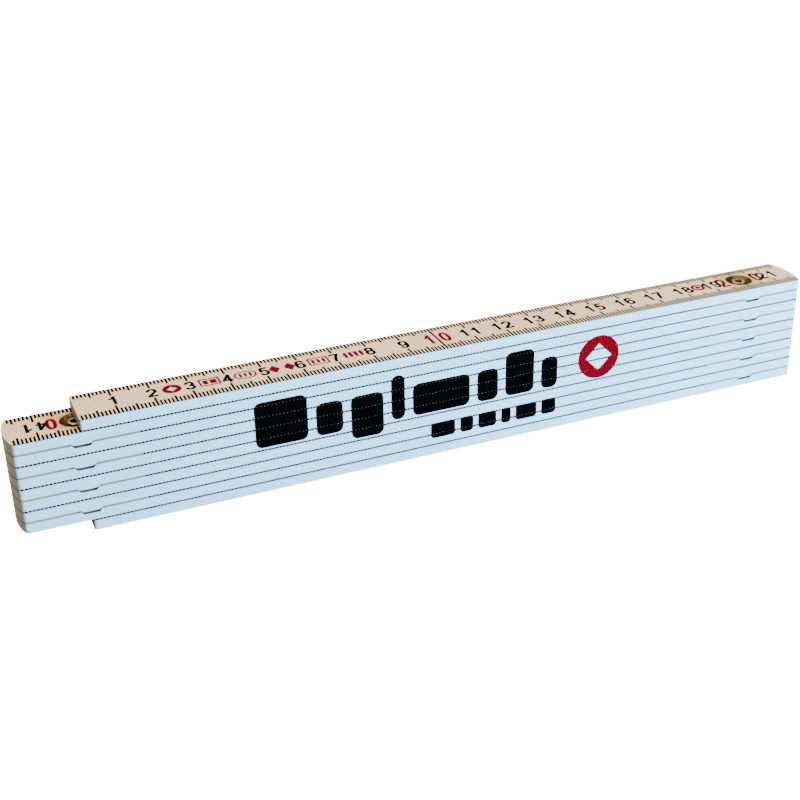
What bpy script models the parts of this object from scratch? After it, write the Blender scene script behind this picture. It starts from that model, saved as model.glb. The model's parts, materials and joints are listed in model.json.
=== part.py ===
"""Two-metre plastic folding rule with ten limbs, folded up and lying on its lowest limb.

Frame: +X along the folded rule, +Y across it, +Z up, with the origin under the middle of the folded rule on
the face it lies on. Limb 1 is the top one and carries the zero end; limb 10 is the bottom one.

Joint n pins limb n to limb n + 1 on a vertical axis. Odd joints are at the +X end of the folded rule and even
joints at the -X end. At each joint a low conical boss under the upper limb turns in a conical pocket in the top
of the lower limb; both are wider than the limb, so its sides cut them off. A hollow brass rivet holds the pair
through two disc springs, one sunk in the top of the upper limb and one sunk in the underside of the lower limb.
"""

import math

import bmesh
import bpy
from mathutils import Matrix, Vector

# ---------------------------------------------------------------- driving dimensions, in metres
LIMB_COUNT = 10
JOINT_PITCH = 0.200
LIMB_OVERHANG = 0.0182
LIMB_WIDTH = 0.0150
LIMB_THICKNESS = 0.0029
END_RADIUS = 0.020
END_CORNER_RADIUS = 0.0012
CUT_END_CORNER_RADIUS = 0.0004
EDGE_CHAMFER = 0.00025

BOSS_HEIGHT = 0.0005
BOSS_SIDE_CHORD = 0.0046
BOSS_FLARE = 0.00025

SHANK_RADIUS = 0.0015
SHANK_WALL = 0.0004
RIM_WIDTH = 0.0007
RIM_THICKNESS = 0.00035

SPRING_RADIUS = 0.0037
SPRING_THICKNESS = 0.00025
SPRING_CONE_RISE = 0.00015

# ---------------------------------------------------------------- clearances, in metres
LIMB_GAP = 0.0003
BOSS_GAP = 0.0003
SHANK_GAP = 0.0003
SPRING_GAP = 0.00015
RIM_GAP = 0.0001
RIM_SUNK = 0.0001

# ---------------------------------------------------------------- facets of the round shapes
CORNER_STEPS = 4
END_STEPS = 6
JOINT_FACETS = 24
METAL_FACETS = 16
CUT_THROUGH = 0.001

# ---------------------------------------------------------------- derived sizes
LEVEL_PITCH = LIMB_THICKNESS + LIMB_GAP
HALF_WIDTH = LIMB_WIDTH / 2
HALF_PITCH = JOINT_PITCH / 2
HOLE_RADIUS = SHANK_RADIUS + SHANK_GAP
SPRING_BORE_RADIUS = HOLE_RADIUS
RECESS_RADIUS = SPRING_RADIUS + SHANK_GAP
RECESS_DEPTH = SPRING_GAP + SPRING_THICKNESS + SPRING_CONE_RISE + RIM_GAP + RIM_THICKNESS + RIM_SUNK
RIM_RADIUS = SHANK_RADIUS + RIM_WIDTH
BOSS_TOP_RADIUS = math.hypot(HALF_WIDTH, BOSS_SIDE_CHORD / 2)
BOSS_TIP_RADIUS = BOSS_TOP_RADIUS - BOSS_FLARE
POCKET_DEPTH = BOSS_HEIGHT - LIMB_GAP + BOSS_GAP
POCKET_FLOOR_RADIUS = BOSS_TIP_RADIUS + BOSS_GAP
POCKET_MOUTH_RADIUS = POCKET_FLOOR_RADIUS + BOSS_FLARE

PLASTIC_COLOUR = (0.78, 0.80, 0.80, 1.0)
BRASS_COLOUR = (0.42, 0.30, 0.12, 1.0)


def clear_scene():
    """Remove every object that the scene starts with."""
    for item in list(bpy.data.objects):
        bpy.data.objects.remove(item, do_unlink=True)


def material(name, colour, roughness, metallic):
    """A Principled material with one colour and finish."""
    made = bpy.data.materials.new(name)
    made.use_nodes = True
    shader = made.node_tree.nodes["Principled BSDF"]
    shader.inputs["Base Color"].default_value = colour
    shader.inputs["Roughness"].default_value = roughness
    shader.inputs["Metallic"].default_value = metallic
    made.diffuse_color = colour
    return made


def new_object(name, shape, finish=None):
    """Turn a bmesh into an object in the scene, with its faces pointing outwards."""
    bmesh.ops.recalc_face_normals(shape, faces=shape.faces)
    mesh = bpy.data.meshes.new(name)
    shape.to_mesh(mesh)
    shape.free()
    if finish:
        mesh.materials.append(finish)
    made = bpy.data.objects.new(name, mesh)
    bpy.context.scene.collection.objects.link(made)
    return made


def as_guide(tool):
    """Keep a cutter or a boss out of the finished model."""
    tool.hide_render = True
    tool.display_type = "WIRE"
    return tool


def joint_x(number):
    """Where joint number stands along the folded rule."""
    return HALF_PITCH if number % 2 else -HALF_PITCH


def limb_base_z(number):
    """Height of the underside of a limb."""
    return (LIMB_COUNT - number) * LEVEL_PITCH


def end_points(reach, direction, corner, end_radius):
    """Points of one limb end, from its -Y side to its +Y side, for an end that points to +X or -X.

    The end is an arc of end_radius that runs smoothly into the corner arcs, or straight where end_radius is 0.
    """
    inner_y = HALF_WIDTH - corner
    lean = math.asin(inner_y / (end_radius - corner)) if end_radius else 0.0
    corner_x = reach - corner
    if end_radius:
        corner_x = reach - end_radius + (end_radius - corner) * math.cos(lean)
    points = []
    for step in range(CORNER_STEPS + 1):
        turn = (math.pi / 2 - lean) * step / CORNER_STEPS - math.pi / 2
        points.append((corner_x + corner * math.cos(turn), corner * math.sin(turn) - inner_y))
    for step in range(1, END_STEPS if end_radius else 1):
        turn = lean * (2 * step / END_STEPS - 1)
        points.append((reach - end_radius + end_radius * math.cos(turn), end_radius * math.sin(turn)))
    for step in range(CORNER_STEPS + 1):
        turn = lean + (math.pi / 2 - lean) * step / CORNER_STEPS
        points.append((corner_x + corner * math.cos(turn), corner * math.sin(turn) + inner_y))
    return [(direction * x, direction * y) for x, y in points]


def limb_outline(number):
    """Plan of a limb, anticlockwise. Limbs 1 and 10 are cut off square at a joint axis of the others."""
    whole = HALF_PITCH + LIMB_OVERHANG
    outline = end_points(whole, 1, END_CORNER_RADIUS, END_RADIUS)
    if number in (1, LIMB_COUNT):
        outline += end_points(HALF_PITCH, -1, CUT_END_CORNER_RADIUS, 0)
    else:
        outline += end_points(whole, -1, END_CORNER_RADIUS, END_RADIUS)
    return outline


def plate(outline, low, high, chamfer):
    """Extrude a plan between two heights and chamfer the rims of its two flat faces."""
    shape = bmesh.new()
    floor = [shape.verts.new((x, y, low)) for x, y in outline]
    face = shape.faces.new(floor)
    lifted = bmesh.ops.extrude_face_region(shape, geom=[face])
    raised = [item for item in lifted["geom"] if isinstance(item, bmesh.types.BMVert)]
    bmesh.ops.translate(shape, verts=raised, vec=(0, 0, high - low))
    if chamfer:
        rims = [edge for edge in shape.edges if edge.verts[0].co.z == edge.verts[1].co.z]
        bmesh.ops.bevel(shape, geom=rims, offset=chamfer, segments=1, affect="EDGES")
    return shape


def turned(profile, x, facets, ring):
    """Turn (radius, height) points about the vertical axis at x; a ring's profile closes on itself."""
    shape = bmesh.new()
    rows = []
    for radius, height in profile:
        if radius == 0:
            rows.append([shape.verts.new((x, 0, height))] * facets)
            continue
        row = []
        for step in range(facets):
            turn = 2 * math.pi * (step + 0.5) / facets
            row.append(shape.verts.new((x + radius * math.cos(turn), radius * math.sin(turn), height)))
        rows.append(row)
    pairs = list(zip(rows, rows[1:]))
    if ring:
        pairs.append((rows[-1], rows[0]))
    for low, high in pairs:
        for step in range(facets):
            after = (step + 1) % facets
            corners = [low[step], low[after], high[after], high[step]]
            shape.faces.new(list(dict.fromkeys(corners)))
    return shape


def boolean(target, tool, operation):
    """Add an exact Boolean modifier."""
    cut = target.modifiers.new(tool.name, "BOOLEAN")
    cut.operation = operation
    cut.solver = "EXACT"
    cut.object = tool


def boss(number):
    """The boss under limb number: a low cone cut off by the limb's own sides."""
    base = limb_base_z(number)
    root = base + LIMB_THICKNESS / 2
    profile = [
        (0, base - BOSS_HEIGHT),
        (BOSS_TIP_RADIUS, base - BOSS_HEIGHT),
        (BOSS_TOP_RADIUS, base),
        (BOSS_TOP_RADIUS, root),
        (0, root),
    ]
    cone = as_guide(new_object(f"boss_{number:02d}", turned(profile, joint_x(number), JOINT_FACETS, False)))
    sides = plate(limb_outline(number), base - CUT_THROUGH, base + LIMB_THICKNESS, 0)
    boolean(cone, as_guide(new_object(f"boss_sides_{number:02d}", sides)), "INTERSECT")
    return cone


def upper_seat(number):
    """Cutter through the upper limb of a joint: the rivet's hole, widened at the top for the disc spring."""
    base = limb_base_z(number)
    top = base + LIMB_THICKNESS
    profile = [
        (0, base - BOSS_HEIGHT - CUT_THROUGH),
        (HOLE_RADIUS, base - BOSS_HEIGHT - CUT_THROUGH),
        (HOLE_RADIUS, top - RECESS_DEPTH),
        (RECESS_RADIUS, top - RECESS_DEPTH),
        (RECESS_RADIUS, top + CUT_THROUGH),
        (0, top + CUT_THROUGH),
    ]
    return as_guide(new_object(f"upper_seat_{number:02d}", turned(profile, joint_x(number), JOINT_FACETS, False)))


def lower_seat(number):
    """Cutter through the lower limb of a joint: pocket for the boss, hole, and recess for the lower spring."""
    base = limb_base_z(number + 1)
    top = base + LIMB_THICKNESS
    mouth_growth = BOSS_FLARE * CUT_THROUGH / POCKET_DEPTH
    profile = [
        (0, base - CUT_THROUGH),
        (RECESS_RADIUS, base - CUT_THROUGH),
        (RECESS_RADIUS, base + RECESS_DEPTH),
        (HOLE_RADIUS, base + RECESS_DEPTH),
        (HOLE_RADIUS, top - POCKET_DEPTH),
        (POCKET_FLOOR_RADIUS, top - POCKET_DEPTH),
        (POCKET_MOUTH_RADIUS + mouth_growth, top + CUT_THROUGH),
        (0, top + CUT_THROUGH),
    ]
    return as_guide(new_object(f"lower_seat_{number:02d}", turned(profile, joint_x(number), JOINT_FACETS, False)))


def limb(number, plastic):
    """One limb with the halves of the one or two joints that it belongs to."""
    base = limb_base_z(number)
    body = plate(limb_outline(number), base, base + LIMB_THICKNESS, EDGE_CHAMFER)
    made = new_object(f"limb_{number:02d}", body, plastic)
    if number < LIMB_COUNT:
        boolean(made, boss(number), "UNION")
        boolean(made, upper_seat(number), "DIFFERENCE")
    if number > 1:
        boolean(made, lower_seat(number - 1), "DIFFERENCE")
    return made


def rivet(number, brass):
    """Hollow rivet with a flange rolled over each disc spring, just below the faces of its two limbs."""
    top = limb_base_z(number) + LIMB_THICKNESS - RIM_SUNK
    bottom = limb_base_z(number + 1) + RIM_SUNK
    bore = SHANK_RADIUS - SHANK_WALL
    lip = RIM_THICKNESS / 2
    upper = [
        (SHANK_RADIUS, top - RIM_THICKNESS),
        (RIM_RADIUS, top - RIM_THICKNESS),
        (SHANK_RADIUS + RIM_WIDTH / 2, top),
        (bore, top - lip),
    ]
    lower = [(radius, bottom + top - height) for radius, height in reversed(upper)]
    shape = turned(lower + upper, joint_x(number), METAL_FACETS, True)
    made = new_object(f"rivet_{number:02d}", shape, brass)
    made.data.shade_smooth()
    made.data.set_sharp_from_angle(angle=math.radians(40))
    return made


def disc_spring(name, x, seat, facing, brass):
    """Conical ring that bears on seat at its outer rim and rises towards its bore; facing is +1 up, -1 down."""
    rest = seat + facing * SPRING_GAP
    profile = [
        (SPRING_RADIUS, rest),
        (SPRING_BORE_RADIUS, rest + facing * SPRING_CONE_RISE),
        (SPRING_BORE_RADIUS, rest + facing * (SPRING_CONE_RISE + SPRING_THICKNESS)),
        (SPRING_RADIUS, rest + facing * SPRING_THICKNESS),
    ]
    made = new_object(name, turned(profile, x, METAL_FACETS, True), brass)
    made.data.shade_smooth()
    made.data.set_sharp_from_angle(angle=math.radians(40))
    return made


def fold_axes():
    """One empty on each joint's axis, each carried by the limb below it, as the rule unfolds from the bottom."""
    axes = {}
    carrier = None
    held = Vector((0, 0, 0))
    for number in range(LIMB_COUNT - 1, 0, -1):
        place = Vector((joint_x(number), 0, limb_base_z(number) - LIMB_GAP / 2))
        axis = bpy.data.objects.new(f"fold_axis_{number}", None)
        axis.location = place - held
        axis.parent = carrier
        axis.empty_display_size = LIMB_WIDTH
        bpy.context.scene.collection.objects.link(axis)
        axes[number] = (axis, place)
        carrier = axis
        held = place
    return axes


def hang_on(piece, axis, place):
    """Parent a piece to the empty at place, and move its origin there."""
    piece.parent = axis
    piece.data.transform(Matrix.Translation(-place))


def build():
    """Make every piece and hang it on the joint that moves it."""
    clear_scene()
    plastic = material("limb_plastic", PLASTIC_COLOUR, 0.42, 0.0)
    brass = material("joint_brass", BRASS_COLOUR, 0.38, 1.0)
    axes = fold_axes()
    moving = {number: [] for number in range(1, LIMB_COUNT + 1)}
    for number in range(1, LIMB_COUNT + 1):
        moving[number].append(limb(number, plastic))
    for number in range(1, LIMB_COUNT):
        x = joint_x(number)
        upper_floor = limb_base_z(number) + LIMB_THICKNESS - RECESS_DEPTH
        lower_floor = limb_base_z(number + 1) + RECESS_DEPTH
        moving[number].append(rivet(number, brass))
        moving[number].append(disc_spring(f"upper_disc_spring_{number:02d}", x, upper_floor, 1, brass))
        moving[number + 1].append(disc_spring(f"lower_disc_spring_{number:02d}", x, lower_floor, -1, brass))
    for number, (axis, place) in axes.items():
        tools = [cut.object for piece in moving[number] for cut in piece.modifiers]
        sides = [cut.object for tool in tools for cut in tool.modifiers]
        for piece in moving[number] + tools + sides:
            hang_on(piece, axis, place)


build()
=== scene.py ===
"""Looks of a two-metre plastic folding rule with ten limbs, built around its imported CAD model.

Every limb gets rounded rims, its half of each joint, printed scales and numbers on both broad
faces, and brass rosettes. The folded rule lies along X with limb 1 on top; readings start at the
-X end of limb 1 and run back and forth through the limbs. The underside is printed as the top is,
turned over about the X axis.
"""

import json
import math

import bmesh
import bpy
from bpy.props import FloatProperty, FloatVectorProperty, IntProperty, PointerProperty
from mathutils import Matrix, Vector

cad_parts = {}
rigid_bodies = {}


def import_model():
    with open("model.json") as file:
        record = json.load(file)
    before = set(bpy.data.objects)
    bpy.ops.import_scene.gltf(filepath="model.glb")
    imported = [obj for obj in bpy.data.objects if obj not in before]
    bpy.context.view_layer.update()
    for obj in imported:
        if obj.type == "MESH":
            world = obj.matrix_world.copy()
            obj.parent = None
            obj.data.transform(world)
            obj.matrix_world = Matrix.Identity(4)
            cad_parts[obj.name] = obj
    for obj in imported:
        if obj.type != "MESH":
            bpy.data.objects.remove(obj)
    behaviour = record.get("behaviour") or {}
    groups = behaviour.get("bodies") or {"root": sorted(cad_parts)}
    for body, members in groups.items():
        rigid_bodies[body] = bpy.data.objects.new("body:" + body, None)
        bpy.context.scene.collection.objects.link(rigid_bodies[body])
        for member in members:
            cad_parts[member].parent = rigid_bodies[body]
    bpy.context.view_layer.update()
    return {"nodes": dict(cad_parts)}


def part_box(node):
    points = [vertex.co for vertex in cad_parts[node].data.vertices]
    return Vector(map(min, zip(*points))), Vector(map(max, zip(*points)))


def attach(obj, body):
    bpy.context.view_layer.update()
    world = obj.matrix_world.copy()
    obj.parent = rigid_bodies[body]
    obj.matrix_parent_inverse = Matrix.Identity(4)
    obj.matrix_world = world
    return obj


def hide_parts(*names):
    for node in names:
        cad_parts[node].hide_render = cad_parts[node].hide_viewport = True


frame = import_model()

bl_info = {
    "name": "Folding Rule Looks",
    "version": (1, 0, 0),
    "blender": (4, 5, 0),
    "location": "3D View > Sidebar > Folding Rule",
    "description": "Builds the limbs, printed scales and brass joints of a folding rule",
    "category": "Object",
}

# ---------------------------------------------------------------- what the frame says, in metres
LIMB_COUNT = sum(name.startswith("limb_") for name in frame["nodes"])
LIMB_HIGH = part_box("limb_05")[1]
HALF_WIDTH = LIMB_HIGH.y
LIMB_REACH = LIMB_HIGH.x
LEVEL_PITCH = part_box("limb_01")[1].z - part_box("limb_02")[1].z
JOINT_REACH = sum(corner.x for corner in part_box("rivet_01")) / 2
JOINT_PITCH = 2 * JOINT_REACH

MM = 0.001
BRASS = "old_brass"

# how many flat facets go once round what is turned
BOSS_FACETS = 160
SEAT_FACETS = 64
RIVET_FACETS = 96
ROSETTE_FACETS = 72
MOULDING_FACETS = 48
# edges sharper than this many degrees stay sharp
LIMB_SHARP = 32
BRASS_SHARP = 50
# where the mould's ring stands, from the zero end of limb 1
MOULDING_PLACE = 4.7 * MM
# the floor lies this far under the rule, so that the ink of the underside stays above it
FLOOR_SINK = 0.03 * MM
# what the camera sees of the floor and the sky on top of what lights the object
BACKDROP_GLOW = 18.0
SKY_LIGHT = 0.26
# soft lights: name, place, size, watts, colour
SOFTBOXES = (
    ("top_softbox", (0.0, 0.10, 0.75), (0.8, 0.8), 14.0, (1.0, 0.76, 0.455)),
    ("front_softbox", (0.46, -0.50, 0.12), (0.5, 0.2), 27.0, (0.29, 0.70, 1.0)),
)


def length(name, description, default):
    """A size in metres that a user can change."""
    return FloatProperty(
        name=name, description=description, default=default, min=0.0, precision=5,
        subtype="DISTANCE", unit="LENGTH",
    )


def colour(name, description, default):
    """A colour that a user can change."""
    return FloatVectorProperty(
        name=name, description=description, default=default, size=3, min=0.0, max=1.0, subtype="COLOR"
    )


class RuleLimbSizes(bpy.types.PropertyGroup):
    """Shape and plastic of the limbs."""

    gap: length("Gap", "Slit between two folded limbs", 0.00014)
    rim_radius: length("Rim radius", "Rounding where a broad face meets a side", 0.00027)
    end_radius: length("End radius", "Radius of the bowed limb ends", 0.020)
    corner_radius: length("Corner radius", "Rounding at the corners of the bowed ends", 0.0012)
    cut_corner_radius: length("Cut corner radius", "Corner rounding of the two square ends", 0.0008)
    boss_height: length("Boss height", "How far a boss reaches into the limb below", 0.00040)
    boss_root_radius: length("Boss root", "Radius of a boss at its limb's face", 0.00786)
    boss_tip_radius: length("Boss tip", "Radius of a boss at its tip", 0.00770)
    pocket_depth: length("Pocket depth", "Depth of the pocket that a boss turns in", 0.00098)
    pocket_mouth_radius: length("Pocket mouth", "Radius of a pocket at the limb's face", 0.00800)
    pocket_floor_radius: length("Pocket floor", "Radius of a pocket at its floor", 0.00776)
    seat_radius: length("Seat radius", "Radius of the round seat of a brass rosette", 0.00395)
    seat_depth: length("Seat depth", "Depth of that seat", 0.0011)
    seat_lip: length("Seat lip", "Rounding of the seat's mouth", 0.00012)
    hole_radius: length("Hole radius", "Radius of the hole for the rivet", 0.0018)
    moulding_ring_radius: length("Moulding ring", "Radius of the faint ring left by the mould", 0.00135)
    # Painted warm light: the broad faces' white is tinted as warm light from above makes it look.
    face_colour: colour("Face colour", "Warm white of the broad faces", (0.80, 0.62, 0.45))
    # Painted cool light: the sides' white is tinted as cool light from the front makes it look.
    side_colour: colour("Side colour", "Cool white of the narrow sides", (0.54, 0.72, 0.88))
    # Painted shade on the limb ends, which face away from the light.
    end_colour: colour("End colour", "Handled grey of the limb ends", (0.15, 0.115, 0.075))
    stain_colour: colour("Stain colour", "Yellowing around the joints", (0.52, 0.34, 0.13))
    # Painted shade in the slits under the bosses: the pocket floors and boss tips are darkened.
    grime_colour: colour("Grime colour", "Dirt in the slits under the bosses", (0.22, 0.16, 0.13))
    # Painted shade along the rims, where the slits between folded limbs lie in shade.
    seam_colour: colour("Seam colour", "Dirt along the rims", (0.10, 0.055, 0.048))
    # Painted shade on the walls of the rosette seats.
    seat_colour: colour("Seat colour", "Brown walls of the rosette seats", (0.07, 0.042, 0.018))


class RulePrintSizes(bpy.types.PropertyGroup):
    """Printed scales, numbers and marks."""

    ink_proud: length("Ink proud", "How far the ink stands above the plastic", 0.000012)
    ink_sunk: length("Ink sunk", "How far the ink's underside lies in the plastic", 0.000008)
    mark_width: length("Mark width", "Width of a millimetre mark", 0.00058)
    long_mark_width: length("Long mark width", "Width of the longer marks", 0.00062)
    millimetre_mark: length("Millimetre mark", "Length of a millimetre mark", 0.0026)
    half_mark: length("Half mark", "Length of a five millimetre mark", 0.0035)
    centimetre_mark: length("Centimetre mark", "Length of a centimetre mark", 0.0045)
    joint_mark: length("Joint mark", "Length of the marks beside a rosette", 0.0033)
    mark_margin: length("Mark margin", "Where the marks stop before the limb's tip", 0.0020)
    clear_zone: length("Clear zone", "Unprinted stretch past a joint on the lower limb", 0.0150)
    digit_height: length("Digit height", "Height of the black digits", 0.0048)
    digit_width: length("Digit width", "Width of the black digits", 0.0028)
    digit_stroke: length("Digit stroke", "Stroke of the black digits", 0.00088)
    digit_pitch: length("Digit pitch", "Spacing of the black digits", 0.0035)
    narrow_width: length("Narrow digit width", "Digit width in black numbers from 100", 0.0023)
    narrow_pitch: length("Narrow digit pitch", "Digit spacing in black numbers from 100", 0.0028)
    decade_height: length("Decade height", "Height of the red digits", 0.0061)
    decade_width: length("Decade width", "Width of the red digits", 0.0029)
    decade_stroke: length("Decade stroke", "Stroke of the red digits", 0.00100)
    decade_offset: length("Decade offset", "Red digit's distance from its decade line", 0.0024)
    narrow_decade: length("Narrow decade width", "Digit width in red numbers from 100", 0.0020)
    decade_pitch: length("Decade pitch", "Spacing of red digits on one side of the line", 0.0025)
    joint_offset: length("Joint offset", "Red digit's distance from a joint's axis", 0.0060)
    black: colour("Black", "Black ink", (0.0022, 0.0018, 0.0016))
    red: colour("Red", "Red ink on the broad faces", (0.14, 0.0018, 0.014))
    # The red and black inks come in two copies, one for the broad faces and one for the sides, with colours
    # shifted for the warm and the cool light: painted light.
    side_black: colour("Side black", "Black ink on the sides", (0.0012, 0.001, 0.001))
    side_red: colour("Side red", "Red ink on the sides", (0.18, 0.0008, 0.0042))


class RuleBrassSizes(bpy.types.PropertyGroup):
    """Brass rosettes and rivets."""

    rosette_radius: length("Rosette radius", "Outer radius of the dished rosette", 0.00392)
    rosette_lip: length("Rosette lip", "Depth of the rosette's outer lip below the face", 0.00016)
    rosette_depth: length("Rosette depth", "Depth of the rosette's floor below the face", 0.00078)
    rosette_wall: length("Rosette wall", "Sheet thickness of the rosette", 0.00024)
    rivet_radius: length("Rivet radius", "Outer radius of the rolled rivet head", 0.0022)
    shank_radius: length("Shank radius", "Outer radius of the hollow shank", 0.0015)
    bore_radius: length("Bore radius", "Radius of the rivet's bore", 0.0010)
    head_depth: length("Head depth", "Depth of the head's crest below the face", 0.0002)
    head_rise: length("Head rise", "Half the thickness of the rolled head", 0.00028)
    petals: IntProperty(name="Petals", description="Splits of a star-crimped head", default=6, min=3)
    petal_depth: length("Petal depth", "How far the splits between petals reach inwards", 0.00022)
    petal_rise: length("Petal rise", "How far the petals' tips rise and fall", 0.00014)
    light: colour("Bright brass", "Rubbed brass", (0.16, 0.11, 0.042))
    dark: colour("Dark brass", "Tarnished brass", (0.035, 0.024, 0.010))
    worn: colour("Worn brass", "Brass of the rivet heads, worn bright", (0.85, 0.62, 0.28))


class RuleStageSizes(bpy.types.PropertyGroup):
    """Floor, lights and camera."""

    lens: FloatProperty(name="Lens", description="Focal length on a 36 mm sensor", default=59.45, min=1.0)
    azimuth: FloatProperty(name="Azimuth", description="Turn of the view", default=22.355)
    elevation: FloatProperty(name="Elevation", description="How far the view looks down", default=26.62)
    roll: FloatProperty(name="Roll", description="Tilt of the view", default=-1.30)
    camera_place: FloatVectorProperty(
        name="Camera place", description="Where the camera stands", size=3,
        subtype="TRANSLATION", unit="LENGTH", default=(-0.13682, -0.30485, 0.18038),
    )
    floor_colour: colour("Floor colour", "Pale floor", (0.55, 0.55, 0.55))


# ---------------------------------------------------------------- nodes written as expressions
class Link:
    """An output socket. Arithmetic on it adds Math nodes to its tree."""

    def __init__(self, graph, socket):
        self.graph = graph
        self.socket = socket

    def __add__(self, other):
        return self.graph.math("ADD", self, other)

    def __radd__(self, other):
        return self.graph.math("ADD", other, self)

    def __sub__(self, other):
        return self.graph.math("SUBTRACT", self, other)

    def __rsub__(self, other):
        return self.graph.math("SUBTRACT", other, self)

    def __mul__(self, other):
        return self.graph.math("MULTIPLY", self, other)

    def __rmul__(self, other):
        return self.graph.math("MULTIPLY", other, self)

    def __truediv__(self, other):
        return self.graph.math("DIVIDE", self, other)

    def __lt__(self, other):
        return self.graph.math("LESS_THAN", self, other)

    def __gt__(self, other):
        return self.graph.math("GREATER_THAN", self, other)

    def __mod__(self, other):
        return self.graph.math("MODULO", self, other)

    def __abs__(self):
        return self.graph.math("ABSOLUTE", self)


class Graph:
    """A node tree that is written as function calls and expressions."""

    def __init__(self, tree):
        self.tree = tree

    def node(self, kind, settings=None, values=None, output=0):
        """Add a node: its settings first, then the numbers or links of its sockets."""
        made = self.tree.nodes.new(kind)
        for name, value in (settings or {}).items():
            setattr(made, name, value)
        for name, value in (values or {}).items():
            if isinstance(value, Link):
                self.tree.links.new(value.socket, made.inputs[name])
            else:
                made.inputs[name].default_value = value
        return Link(self, made.outputs[output])

    def join(self, *parts):
        """Join several geometries."""
        made = self.tree.nodes.new("GeometryNodeJoinGeometry")
        for part in parts:
            self.tree.links.new(part.socket, made.inputs[0])
        return Link(self, made.outputs[0])

    def math(self, operation, *values):
        return self.node("ShaderNodeMath", {"operation": operation}, dict(enumerate(values)))

    def xyz(self, x, y, z):
        return self.node("ShaderNodeCombineXYZ", None, {0: x, 1: y, 2: z})

    def parts(self, vector):
        """The three numbers of a vector."""
        first = self.node("ShaderNodeSeparateXYZ", None, {0: vector})
        outputs = first.socket.node.outputs
        return [Link(self, outputs[axis]) for axis in range(3)]

    def smooth(self, value, low, high):
        """0 below low, 1 above high, and an S-curve between them."""
        settings = {"interpolation_type": "SMOOTHSTEP"}
        return self.node("ShaderNodeMapRange", settings, {0: value, 1: low, 2: high, 3: 0.0, 4: 1.0})

    def mix(self, share, first, second):
        """A colour between two colours."""
        settings = {"data_type": "RGBA"}
        return self.node("ShaderNodeMix", settings, {0: share, 6: first, 7: second}, output=2)

    def noise(self, place, scale, detail=2.0, roughness=0.5):
        values = {"Vector": place, "Scale": scale, "Detail": detail, "Roughness": roughness}
        return self.node("ShaderNodeTexNoise", None, values)


def rgba(values):
    return (*values, 1.0)


def material(name):
    """An empty material's graph, shader sockets and object coordinates."""
    made = bpy.data.materials.new(name)
    made.use_nodes = True
    graph = Graph(made.node_tree)
    shader = made.node_tree.nodes["Principled BSDF"]
    place = graph.node("ShaderNodeTexCoord", None, None, output=3)
    return made, graph, shader, place


def finish_shader(graph, shader, colour_link, roughness, bump_height, bump_strength, bump_distance):
    """Connect what varies over the surface to a Principled shader."""
    links = graph.tree.links
    links.new(colour_link.socket, shader.inputs["Base Color"])
    links.new(roughness.socket, shader.inputs["Roughness"])
    values = {"Strength": bump_strength, "Distance": bump_distance, "Height": bump_height}
    bump = graph.node("ShaderNodeBump", None, values)
    links.new(bump.socket, shader.inputs["Normal"])


def plastic_material(number, sizes):
    """Limb plastic with painted light: broad faces tinted by painted warm light, sides by painted cool light,
    ends in painted shade, painted shade along the rims, in the rosette seats and in the slits under the
    bosses; with yellowing round the joints and a fine moulded grain.
    """
    made, graph, shader, place = material(f"limb_plastic_{number:02d}")
    outward = graph.node("ShaderNodeTexCoord", None, None, output=1)
    normal_x, _, normal_z = graph.parts(outward)
    x, y, _ = graph.parts(place)
    tone = 0.5 + 0.5 * math.sin(2.4 * number)
    upright = abs(normal_z)
    broad = graph.smooth(upright, 0.45, 0.9)
    rim = graph.smooth(upright, 0.05, 0.45) * (1 - graph.smooth(upright, 0.75, 0.98))
    # This mask carries the painted shade on the faces that point along X.
    ends = graph.smooth(abs(normal_x), 0.35, 0.95)
    upward = normal_z > 0.0
    cloud = graph.noise(place, 45.0, 3.0, 0.6)
    grain = graph.noise(place, 1500.0, 3.0, 0.65)

    def away(joint):
        """Distance from a joint's axis."""
        return graph.math("SQRT", graph.math("POWER", x - joint_x(joint), 2.0) + graph.math("POWER", y, 2.0))

    rosette = away(number) * upward + away(number - 1) * (1 - upward)
    hidden = away(number - 1) * upward + away(number) * (1 - upward)
    if number == 1:
        rosette = rosette + (1 - upward)
        hidden = hidden + upward
    if number == LIMB_COUNT:
        rosette = rosette + upward
        hidden = hidden + (1 - upward)
    # The broad faces and the sides are one white plastic: their warm and cool tints are painted light, and
    # the ends' dark colour is painted shade.
    side = [part * (0.95 + 0.05 * tone) for part in sizes.side_colour]
    face = [part * (0.98 + 0.02 * tone) for part in sizes.face_colour]
    flank_with_painted_light = graph.mix(ends * 0.92, rgba(side), rgba(sizes.end_colour))
    base = graph.mix(broad, flank_with_painted_light, rgba(face))
    yellowed = (1 - graph.smooth(rosette, 0.0038, 0.0090)) * broad * (cloud * 0.7 + 0.35)
    stained = graph.mix(yellowed, base, rgba(sizes.stain_colour))
    # Painted shade: the rounded rims are darkened as the shade in the slits between limbs.
    with_rim_shade = graph.mix(rim * 0.95, stained, rgba(sizes.seam_colour))
    # Painted shade: the walls of the rosette seats are darkened as shade in those recesses.
    seat = (1 - graph.smooth(rosette, 0.0043, 0.0047)) * (1 - broad)
    with_seat_shade = graph.mix(seat, with_rim_shade, rgba(sizes.seat_colour))
    # Painted shade: pocket floors and boss tips, hidden between limbs, are darkened as shade in the slits.
    slit_shade_mask = (1 - graph.smooth(hidden, 0.0079, 0.0083)) * broad * 0.9
    with_slit_shade = graph.mix(slit_shade_mask, with_seat_shade, rgba(sizes.grime_colour))
    dulled = graph.mix((1 - cloud) * 0.10 + grain * 0.05, with_slit_shade, rgba((0.42, 0.38, 0.34)))
    roughness = grain * 0.12 + 0.36
    shader.inputs["Specular IOR Level"].default_value = 0.35
    finish_shader(graph, shader, dulled, roughness, grain * 0.6 + cloud * 0.4, 0.25, 0.00004)
    return made


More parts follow.
